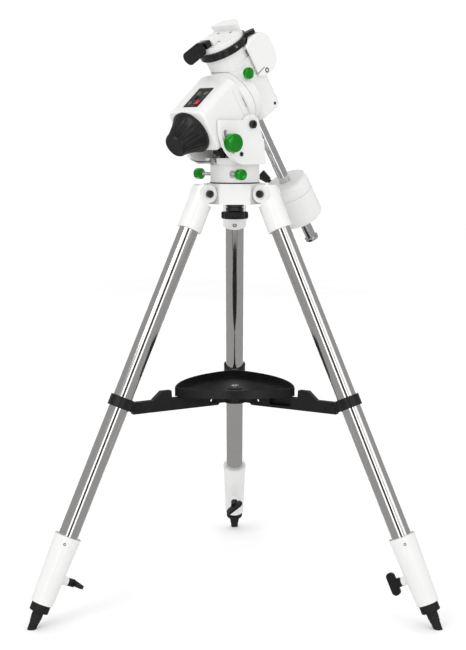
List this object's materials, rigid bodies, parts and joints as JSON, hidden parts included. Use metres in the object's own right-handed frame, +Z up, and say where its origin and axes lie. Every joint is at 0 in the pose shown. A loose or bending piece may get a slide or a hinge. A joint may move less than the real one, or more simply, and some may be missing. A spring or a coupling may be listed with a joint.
{
  "type": "equatorial mount",
  "caption": "German equatorial mount for a telescope on a folding steel tripod with an accessory tray, a dovetail saddle and a sliding counterweight.",
  "frame": {"origin": "bottom centre of the bounding box, on the floor under the tripod", "axes": "+Z up; +Y towards the tripod's rear leg; +X to the right as seen from the front"},
  "size_m": [0.9058, 0.7896, 1.3195],
  "materials": {
    "white_paint": "gloss white paint on a casting",
    "white_iron": "gloss white paint on cast iron",
    "white_plastic": "gloss",
    "black_paint": "satin black paint",
    "black_plastic": "satin",
    "stainless": "polished",
    "chrome": "polished",
    "green_anodised": "anodised",
    "dark_steel": "satin",
    "rubber": "matte",
    "brass": "machined",
    "grey_steel": "machined",
    "red_plastic": "gloss"
  },
  "bodies": {
    "tripod_head": {"tripod_head": "white_paint", "azimuth_washer": "black_plastic", "leg_pivot_bolts": "dark_steel"},
    "centre_lock": {"centre_lock_knob": "black_plastic"},
    "leg_1": {"leg_1_castings": "white_paint", "leg_1_tube": "stainless", "leg_1_band": "black_plastic"},
    "leg_1_lower": {"leg_1_inner_tube": "stainless", "leg_1_foot": "rubber"},
    "leg_1_clamp": {"leg_1_clamp_knob": "black_plastic"},
    "arm_1": {"spreader_arm_1": "black_plastic"},
    "leg_2": {"leg_2_castings": "white_paint", "leg_2_tube": "stainless", "leg_2_band": "black_plastic"},
    "leg_2_lower": {"leg_2_inner_tube": "stainless", "leg_2_foot": "rubber"},
    "leg_2_clamp": {"leg_2_clamp_knob": "black_plastic"},
    "arm_2": {"spreader_arm_2": "black_plastic"},
    "leg_3": {"leg_3_castings": "white_paint", "leg_3_tube": "stainless", "leg_3_band": "black_plastic"},
    "leg_3_lower": {"leg_3_inner_tube": "stainless", "leg_3_foot": "rubber"},
    "leg_3_clamp": {"leg_3_clamp_knob": "black_plastic"},
    "arm_3": {"spreader_arm_3": "black_plastic"},
    "spreader_hub": {"spreader_hub": "black_plastic"},
    "tray": {"tray": "black_plastic"},
    "tray_screw": {"tray_screw": "stainless"},
    "azimuth": {"azimuth_base": "white_paint", "fork": "white_paint", "altitude_pivot_bolts": "dark_steel"},
    "azimuth_bolt_front": {"azimuth_bolt_front": "green_anodised"},
    "azimuth_bolt_rear": {"azimuth_bolt_rear": "green_anodised"},
    "polar_unit": {"polar_housing": "white_paint", "control_panel": "black_plastic", "polar_bearings": "grey_steel", "polar_motor": "dark_steel"},
    "altitude_lock": {"altitude_lock_knob": "green_anodised"},
    "altitude_bolt_front": {"altitude_bolt_front": "stainless"},
    "altitude_bolt_rear": {"altitude_bolt_rear": "green_anodised"},
    "polar_cap": {"polar_cap": "black_plastic"},
    "power_switch": {"power_switch": "red_plastic"},
    "polar_worm": {"polar_worm": "grey_steel"},
    "dec_unit": {"dec_housing": "white_paint", "dec_cover": "white_plastic", "polar_shaft": "grey_steel", "polar_worm_wheel": "brass", "dec_bearings": "grey_steel", "dec_motor": "dark_steel", "counterweight_bar": "chrome"},
    "saddle": {"saddle": "white_paint", "dec_shaft": "grey_steel", "dec_worm_wheel": "brass"},
    "dec_worm": {"dec_worm": "grey_steel"},
    "dec_clutch_ring": {"dec_clutch_ring": "black_paint"},
    "dec_clutch_knob": {"dec_clutch_knob": "green_anodised"},
    "counterweight": {"counterweight": "white_iron"},
    "counterweight_lock": {"counterweight_knob": "black_paint"},
    "saddle_screw": {"saddle_knob": "black_plastic"},
    "saddle_jaw": {"saddle_jaw": "black_paint"}
  },
  "joints": [
    {"name": "centre_lock_turn", "type": "hinge", "parent": "tripod_head", "child": "centre_lock", "pos_m": [0, -0.12679, 0.885], "axis": [0, 0, 1], "range_deg": [-360, 0]},
    {"name": "leg_1_fold", "type": "hinge", "parent": "tripod_head", "child": "leg_1", "pos_m": [0, -0.04479, 0.935], "axis": [-1, 0, 0], "range_deg": [0, 5]},
    {"name": "leg_1_extend", "type": "slide", "parent": "leg_1", "child": "leg_1_lower", "axis": [0, 0.4169, -0.9089], "range_m": [0, 0.3]},
    {"name": "leg_1_clamp_turn", "type": "hinge", "parent": "leg_1", "child": "leg_1_clamp", "pos_m": [0, 0.28874, 0.08792], "axis": [0, 0.9089, 0.4169], "range_deg": [-360, 0]},
    {"name": "arm_1_tilt", "type": "hinge", "parent": "leg_1", "child": "arm_1", "pos_m": [0, 0.13121, 0.462], "axis": [-1, 0, 0], "range_deg": [0, 32]},
    {"name": "leg_2_fold", "type": "hinge", "parent": "tripod_head", "child": "leg_2", "pos_m": [-0.07101, -0.16779, 0.935], "axis": [0.5, -0.866, 0], "range_deg": [0, 5]},
    {"name": "leg_2_extend", "type": "slide", "parent": "leg_2", "child": "leg_2_lower", "axis": [-0.3611, -0.2085, -0.9089], "range_m": [0, 0.3]},
    {"name": "leg_2_clamp_turn", "type": "hinge", "parent": "leg_2", "child": "leg_2_clamp", "pos_m": [-0.35986, -0.33456, 0.08792], "axis": [-0.7872, -0.4545, 0.4169], "range_deg": [-360, 0]},
    {"name": "arm_2_tilt", "type": "hinge", "parent": "leg_2", "child": "arm_2", "pos_m": [-0.22343, -0.25579, 0.462], "axis": [0.5, -0.866, 0], "range_deg": [0, 32]},
    {"name": "leg_3_fold", "type": "hinge", "parent": "tripod_head", "child": "leg_3", "pos_m": [0.07101, -0.16779, 0.935], "axis": [0.5, 0.866, 0], "range_deg": [0, 5]},
    {"name": "leg_3_extend", "type": "slide", "parent": "leg_3", "child": "leg_3_lower", "axis": [0.3611, -0.2085, -0.9089], "range_m": [0, 0.3]},
    {"name": "leg_3_clamp_turn", "type": "hinge", "parent": "leg_3", "child": "leg_3_clamp", "pos_m": [0.35986, -0.33456, 0.08792], "axis": [0.7872, -0.4545, 0.4169], "range_deg": [-360, 0]},
    {"name": "arm_3_tilt", "type": "hinge", "parent": "leg_3", "child": "arm_3", "pos_m": [0.22343, -0.25579, 0.462], "axis": [0.5, 0.866, 0], "range_deg": [0, 32]},
    {"name": "spreader_rise", "type": "slide", "parent": "tripod_head", "child": "spreader_hub", "axis": [0, 0, 1], "range_m": [0, 0.11]},
    {"name": "tray_lift", "type": "slide", "parent": "spreader_hub", "child": "tray", "axis": [0, 0, 1], "range_m": [0, 0.03]},
    {"name": "tray_screw_turn", "type": "hinge", "parent": "tray", "child": "tray_screw", "pos_m": [0, -0.12679, 0.486], "axis": [0, 0, 1], "range_deg": [-720, 0]},
    {"name": "azimuth_turn", "type": "hinge", "parent": "tripod_head", "child": "azimuth", "pos_m": [0, -0.12679, 0.98], "axis": [0, 0, 1], "range_deg": [-8, 8]},
    {"name": "azimuth_bolt_front_run", "type": "slide", "parent": "azimuth", "child": "azimuth_bolt_front", "axis": [0.5299, -0.848, 0], "range_m": [-0.006, 0.006]},
    {"name": "azimuth_bolt_rear_run", "type": "slide", "parent": "azimuth", "child": "azimuth_bolt_rear", "axis": [-0.788, 0.6157, 0], "range_m": [-0.006, 0.006]},
    {"name": "altitude_tilt", "type": "hinge", "parent": "azimuth", "child": "polar_unit", "pos_m": [-0.01189, -0.1375, 1.088], "axis": [0.6691, -0.7431, 0], "range_deg": [-13, 10]},
    {"name": "altitude_lock_turn", "type": "hinge", "parent": "polar_unit", "child": "altitude_lock", "pos_m": [-0.01049, -0.24389, 1.0475], "axis": [0.6691, -0.7431, 0], "range_deg": [-360, 0]},
    {"name": "altitude_bolt_front_run", "type": "slide", "parent": "azimuth", "child": "altitude_bolt_front", "axis": [0.689, 0.6204, 0.3746], "range_m": [-0.017, 0.016]},
    {"name": "altitude_bolt_rear_run", "type": "slide", "parent": "azimuth", "child": "altitude_bolt_rear", "axis": [0.7431, 0.6691, 0], "range_m": [-0.014, 0.012]},
    {"name": "polar_cap_pull", "type": "slide", "parent": "polar_unit", "child": "polar_cap", "axis": [-0.6233, -0.5612, -0.5446], "range_m": [0, 0.02]},
    {"name": "power_switch_rock", "type": "hinge", "parent": "polar_unit", "child": "power_switch", "pos_m": [-0.08141, -0.23105, 1.13347], "axis": [-0.6691, 0.7431, 0], "range_deg": [-7, 7]},
    {"name": "polar_worm_spin", "type": "hinge", "parent": "polar_unit", "child": "polar_worm", "pos_m": [-0.05609, -0.1773, 1.15906], "axis": [-0.6691, 0.7431, 0], "range_deg": [-18800, 18800]},
    {"name": "ra_turn", "type": "hinge", "parent": "polar_unit", "child": "dec_unit", "pos_m": [0.01709, -0.1114, 1.169], "axis": [0.6233, 0.5612, 0.5446], "range_deg": [-125, 125]},
    {"name": "dec_turn", "type": "hinge", "parent": "dec_unit", "child": "saddle", "pos_m": [-0.02743, -0.15149, 1.26125], "axis": [-0.4047, -0.3644, 0.8387], "continuous": true},
    {"name": "dec_worm_spin", "type": "hinge", "parent": "dec_unit", "child": "dec_worm", "pos_m": [0.02172, -0.10723, 1.22789], "axis": [-0.6691, 0.7431, 0], "continuous": true},
    {"name": "dec_clutch_ring_turn", "type": "hinge", "parent": "dec_unit", "child": "dec_clutch_ring", "pos_m": [-0.02662, -0.15076, 1.25958], "axis": [-0.4047, -0.3644, 0.8387], "range_deg": [-40, 20]},
    {"name": "dec_clutch_knob_turn", "type": "hinge", "parent": "dec_unit", "child": "dec_clutch_knob", "pos_m": [0.02432, -0.18563, 1.19866], "axis": [0.6691, -0.7431, 0], "range_deg": [-360, 0]},
    {"name": "counterweight_slide", "type": "slide", "parent": "dec_unit", "child": "counterweight", "axis": [0.4047, 0.3644, -0.8387], "range_m": [-0.05, 0.05]},
    {"name": "counterweight_lock_turn", "type": "hinge", "parent": "counterweight", "child": "counterweight_lock", "pos_m": [0.07732, 0.02357, 0.96101], "axis": [-0.7593, 0.2678, 0.593], "range_deg": [-360, 0]},
    {"name": "saddle_knob_turn", "type": "hinge", "parent": "saddle", "child": "saddle_screw", "pos_m": [-0.08761, -0.20568, 1.23907], "axis": [0.6233, 0.5612, 0.5446], "range_deg": [0, 1440]},
    {"name": "saddle_jaw_slide", "type": "slide", "parent": "saddle", "child": "saddle_jaw", "axis": [0.6233, 0.5612, 0.5446], "range_m": [0, 0.0061]}
  ],
  "couplings": [
    {"joint": "arm_1_tilt", "follows": "leg_1_fold", "ratio": 6.364},
    {"joint": "leg_2_fold", "follows": "leg_1_fold", "ratio": 1},
    {"joint": "arm_2_tilt", "follows": "leg_1_fold", "ratio": 6.364},
    {"joint": "leg_3_fold", "follows": "leg_1_fold", "ratio": 1},
    {"joint": "arm_3_tilt", "follows": "leg_1_fold", "ratio": 6.364},
    {"joint": "spreader_rise", "follows": "leg_1_fold", "m_per_rad": 1.2463},
    {"joint": "azimuth_bolt_front_run", "follows": "azimuth_turn", "m_per_rad": -0.0345},
    {"joint": "azimuth_bolt_rear_run", "follows": "azimuth_turn", "m_per_rad": 0.0345},
    {"joint": "altitude_bolt_front_run", "follows": "altitude_tilt", "m_per_rad": 0.07},
    {"joint": "altitude_bolt_rear_run", "follows": "altitude_tilt", "m_per_rad": 0.0532},
    {"joint": "polar_worm_spin", "follows": "ra_turn", "ratio": 144},
    {"joint": "dec_worm_spin", "follows": "dec_turn", "ratio": 114},
    {"joint": "saddle_jaw_slide", "follows": "saddle_knob_turn", "m_per_rad": 0.000239}
  ]
}
